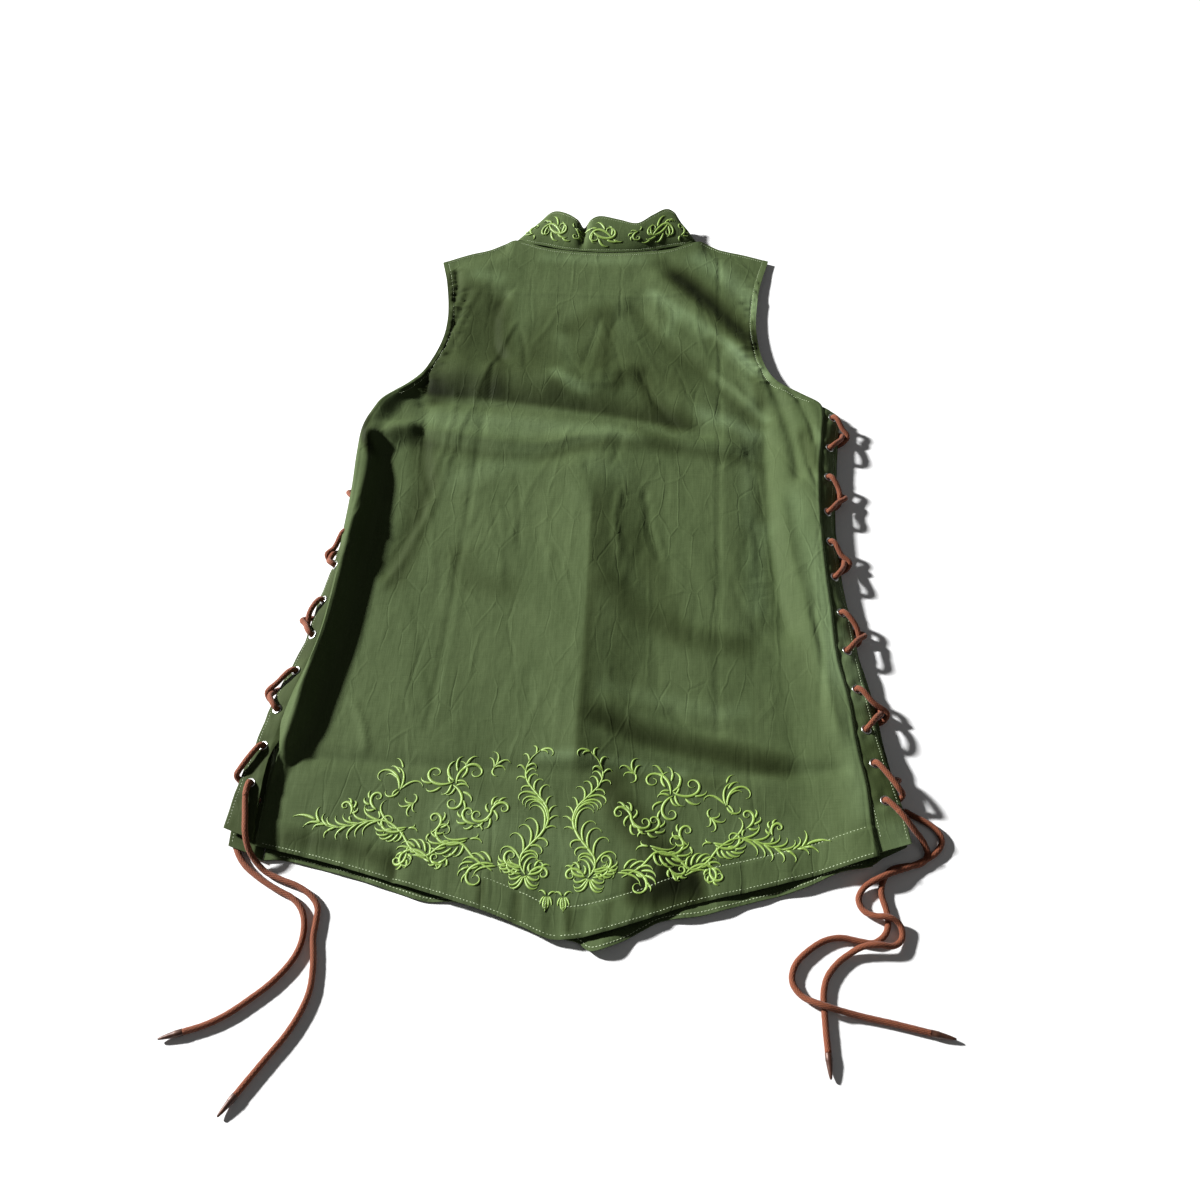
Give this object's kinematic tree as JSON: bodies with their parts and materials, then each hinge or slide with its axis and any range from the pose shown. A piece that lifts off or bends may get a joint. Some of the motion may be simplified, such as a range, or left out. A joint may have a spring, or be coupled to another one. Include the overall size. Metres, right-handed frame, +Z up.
{
  "type": "laced tabard",
  "caption": "Sleeveless tabard laid flat with its back up: stand collar, pointed hem with a faced band, lacing down both sides and free lace ends at the hem corners.",
  "frame": {"origin": "middle of the garment's extent across and along, on the surface it lies on; the free lace ends are left out of that extent", "axes": "+Y from the point of the hem towards the collar, +X towards the wearer's right side as the garment lies back up, +Z up out of the surface"},
  "size_m": [0.6498, 1.0572, 0.0338],
  "materials": {
    "cloth": "plain-woven olive green cotton",
    "collar_cloth": "the same cotton, doubled and stiffened",
    "placket_cloth": "the same cotton, doubled and stitched",
    "cord": "braided rust brown cotton cord",
    "eyelet_metal": "nickel-plated, bright",
    "aglet_metal": "dark brown, satin"
  },
  "bodies": {
    "root": {"back_panel": "cloth", "front_panel": "cloth", "collar": "collar_cloth", "back_placket_left": "placket_cloth", "front_placket_left": "placket_cloth", "eyelet_left_1": "eyelet_metal", "eyelet_left_2": "eyelet_metal", "eyelet_left_3": "eyelet_metal", "eyelet_left_4": "eyelet_metal", "eyelet_left_5": "eyelet_metal", "eyelet_left_6": "eyelet_metal", "eyelet_left_7": "eyelet_metal", "eyelet_left_8": "eyelet_metal", "eyelet_left_9": "eyelet_metal", "eyelet_left_10": "eyelet_metal", "eyelet_left_11": "eyelet_metal", "eyelet_left_12": "eyelet_metal", "lace_left": "cord", "lace_end_left_back": "cord", "aglet_left_back": "aglet_metal", "lace_end_left_front": "cord", "aglet_left_front": "aglet_metal", "back_placket_right": "placket_cloth", "front_placket_right": "placket_cloth", "eyelet_right_1": "eyelet_metal", "eyelet_right_2": "eyelet_metal", "eyelet_right_3": "eyelet_metal", "eyelet_right_4": "eyelet_metal", "eyelet_right_5": "eyelet_metal", "eyelet_right_6": "eyelet_metal", "eyelet_right_7": "eyelet_metal", "eyelet_right_8": "eyelet_metal", "eyelet_right_9": "eyelet_metal", "eyelet_right_10": "eyelet_metal", "eyelet_right_11": "eyelet_metal", "eyelet_right_12": "eyelet_metal", "lace_right": "cord", "lace_end_right_back": "cord", "aglet_right_back": "aglet_metal", "lace_end_right_front": "cord", "aglet_right_front": "aglet_metal"}
  },
  "joints": []
}
